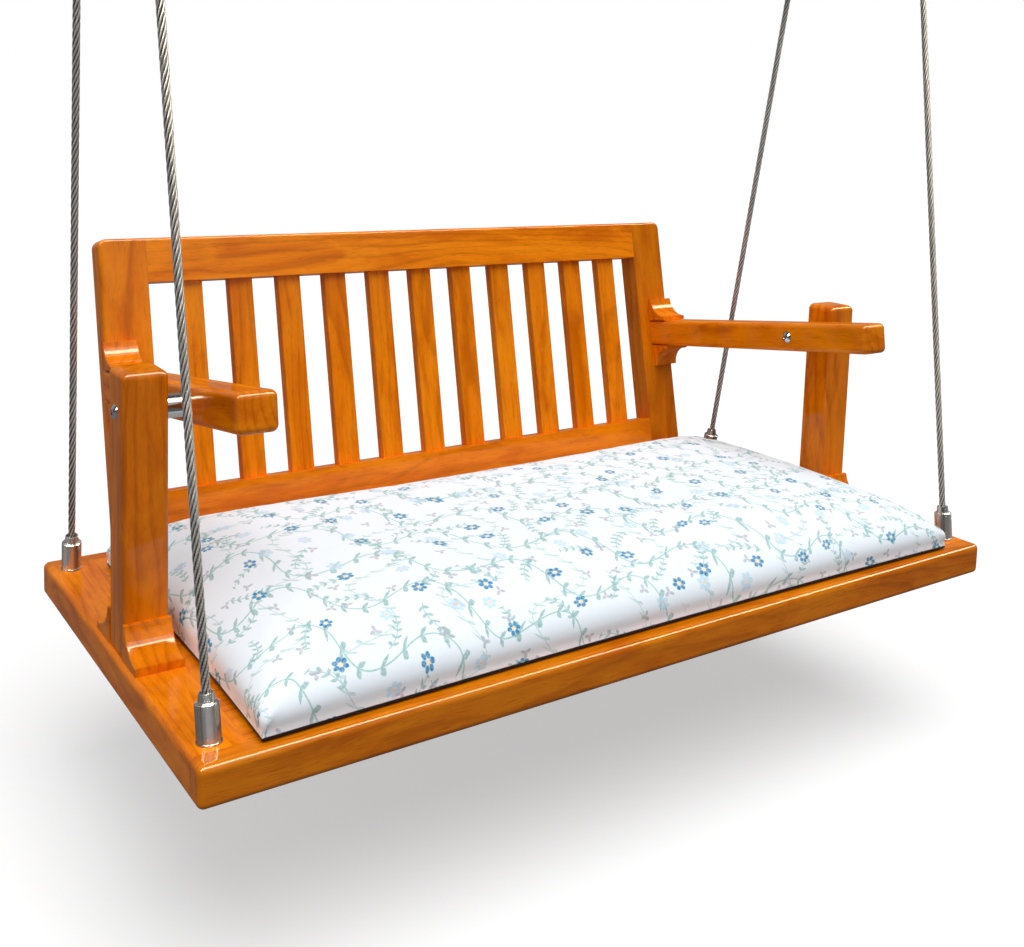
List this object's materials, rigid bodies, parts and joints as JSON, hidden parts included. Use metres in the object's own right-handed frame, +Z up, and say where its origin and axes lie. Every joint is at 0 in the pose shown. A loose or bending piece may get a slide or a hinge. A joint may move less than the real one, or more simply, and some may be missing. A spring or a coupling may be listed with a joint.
{
  "type": "jhoola swing",
  "caption": "Wooden bench swing that hangs on steel wire ropes, with a deck, swing-over slatted back, arms on pivot bolts and a flat cushion.",
  "frame": {"origin": "middle of the four ceiling plates, on the plane of their upper faces", "axes": "+Z up, +Y to the back of the seat, +X to the right as seen from the front"},
  "size_m": [1.2542, 0.6997, 1.037],
  "materials": {
    "varnished_teak": "gloss varnish over straight grain",
    "polished_steel": "turned and polished",
    "bright_fastener": "bright plated",
    "wire_rope": "bare stranded wire",
    "hanger_steel": "satin",
    "bush_bronze": "turned",
    "cushion_cover": "printed woven cloth"
  },
  "bodies": {
    "hangers": {"ceiling_hanger_front_left": "hanger_steel", "ceiling_hanger_front_right": "hanger_steel", "ceiling_hanger_rear_left": "hanger_steel", "ceiling_hanger_rear_right": "hanger_steel"},
    "front_ropes": {"rope_balls_front": "polished_steel", "rope_eye_front_left": "polished_steel", "rope_eye_front_right": "polished_steel", "rope_front_left": "wire_rope", "rope_front_right": "wire_rope"},
    "seat": {"deck_back_rail": "varnished_teak", "deck_battens": "varnished_teak", "deck_front_rail": "varnished_teak", "deck_side_board_left": "varnished_teak", "deck_side_board_right": "varnished_teak", "pivot_barrel_nuts": "bright_fastener", "pivot_bolts": "bright_fastener", "pivot_hub_left": "polished_steel", "pivot_hub_right": "polished_steel", "post_coves_left": "varnished_teak", "post_coves_right": "varnished_teak", "post_left": "varnished_teak", "post_right": "varnished_teak", "post_screws": "bright_fastener", "rope_socket_front_left": "polished_steel", "rope_socket_front_right": "polished_steel", "rope_socket_rear_left": "polished_steel", "rope_socket_rear_right": "polished_steel", "seat_cushion": "cushion_cover", "seat_planks": "varnished_teak", "socket_nuts": "bright_fastener", "socket_washers": "bright_fastener"},
    "rear_ropes": {"rope_balls_rear": "polished_steel", "rope_eye_rear_left": "polished_steel", "rope_eye_rear_right": "polished_steel", "rope_rear_left": "wire_rope", "rope_rear_right": "wire_rope"},
    "backrest": {"arm_bracket_lower_left": "varnished_teak", "arm_bracket_lower_right": "varnished_teak", "arm_bracket_upper_left": "varnished_teak", "arm_bracket_upper_right": "varnished_teak", "arm_bush_left": "bush_bronze", "arm_bush_right": "bush_bronze", "arm_left": "varnished_teak", "arm_right": "varnished_teak", "back_bottom_rail": "varnished_teak", "back_slat_01": "varnished_teak", "back_slat_02": "varnished_teak", "back_slat_03": "varnished_teak", "back_slat_04": "varnished_teak", "back_slat_05": "varnished_teak", "back_slat_06": "varnished_teak", "back_slat_07": "varnished_teak", "back_slat_08": "varnished_teak", "back_slat_09": "varnished_teak", "back_slat_10": "varnished_teak", "back_slat_11": "varnished_teak", "back_stile_left": "varnished_teak", "back_stile_right": "varnished_teak", "back_top_rail": "varnished_teak"}
  },
  "joints": [
    {"name": "swing", "type": "hinge", "parent": "hangers", "child": "front_ropes", "pos_m": [0, -0.12308, -0.03], "axis": [1, 0, 0], "range_deg": [-10, 10]},
    {"name": "front_sockets", "type": "hinge", "parent": "front_ropes", "child": "seat", "pos_m": [0, -0.25529, -0.94734], "axis": [1, 0, 0], "range_deg": [-4.85, 4.85]},
    {"name": "rear_sockets", "type": "hinge", "parent": "seat", "child": "rear_ropes", "pos_m": [0, 0.25529, -0.94734], "axis": [1, 0, 0], "range_deg": [-4.85, 4.85]},
    {"name": "back_flip", "type": "hinge", "parent": "seat", "child": "backrest", "pos_m": [0, -0.0176, -0.7], "axis": [1, 0, 0], "range_deg": [0, 203]}
  ],
  "couplings": [
    {"joint": "front_sockets", "follows": "swing", "ratio": -0.48212},
    {"joint": "rear_sockets", "follows": "swing", "ratio": 0.48212}
  ]
}
